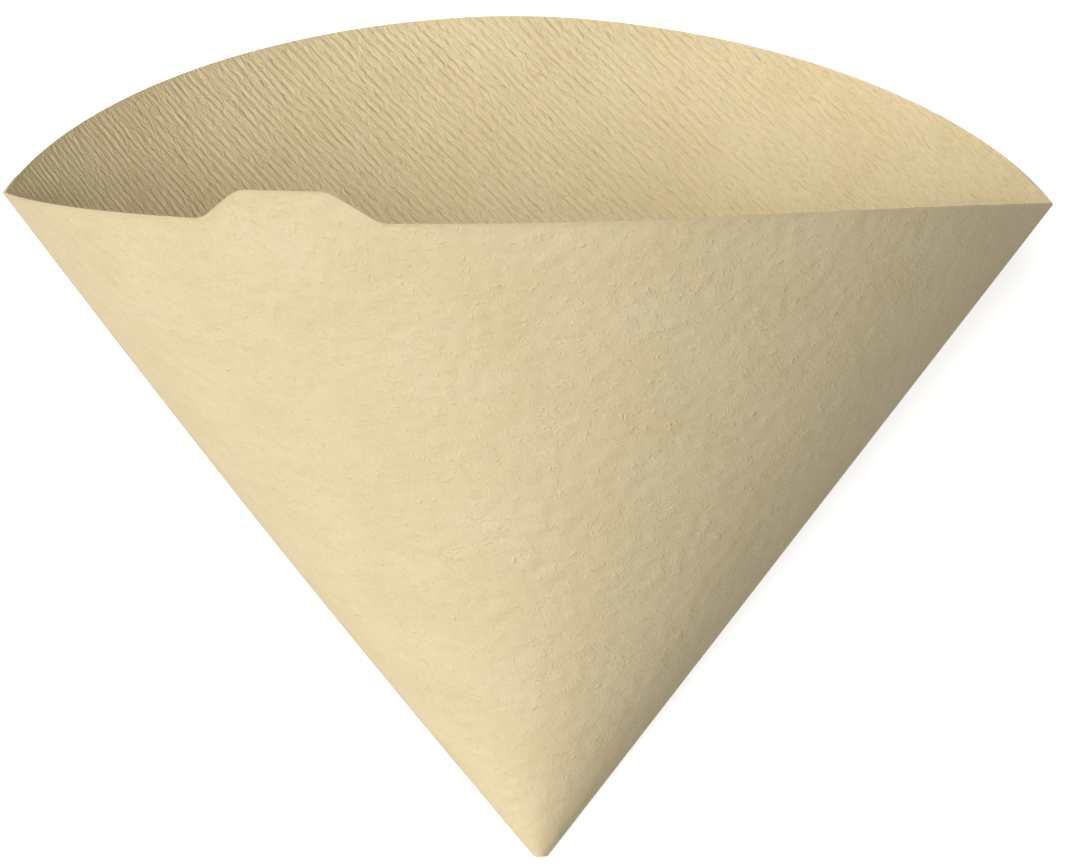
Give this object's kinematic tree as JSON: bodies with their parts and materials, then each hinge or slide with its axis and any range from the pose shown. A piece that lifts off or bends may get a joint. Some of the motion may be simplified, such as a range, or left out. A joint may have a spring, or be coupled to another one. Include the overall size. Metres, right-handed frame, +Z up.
{
  "type": "paper coffee filter",
  "caption": "Cone of creped brown filter paper, folded from one sheet, opened, with a side fold, a crimped seam and a small tab on the front rim.",
  "frame": {"origin": "centre of the bounding box, at the floor that the cone's back wall lies on", "axes": "+Y from the tip to the mouth along the back wall's flat middle, +Z up from the back wall to the front wall with the tab, +X to the fold's side, away from the crimped seam"},
  "size_m": [0.1384, 0.1162, 0.0887],
  "materials": {
    "filter_paper": "matt creped unbleached paper"
  },
  "bodies": {
    "root": {"paper_filter": "filter_paper"}
  },
  "joints": []
}
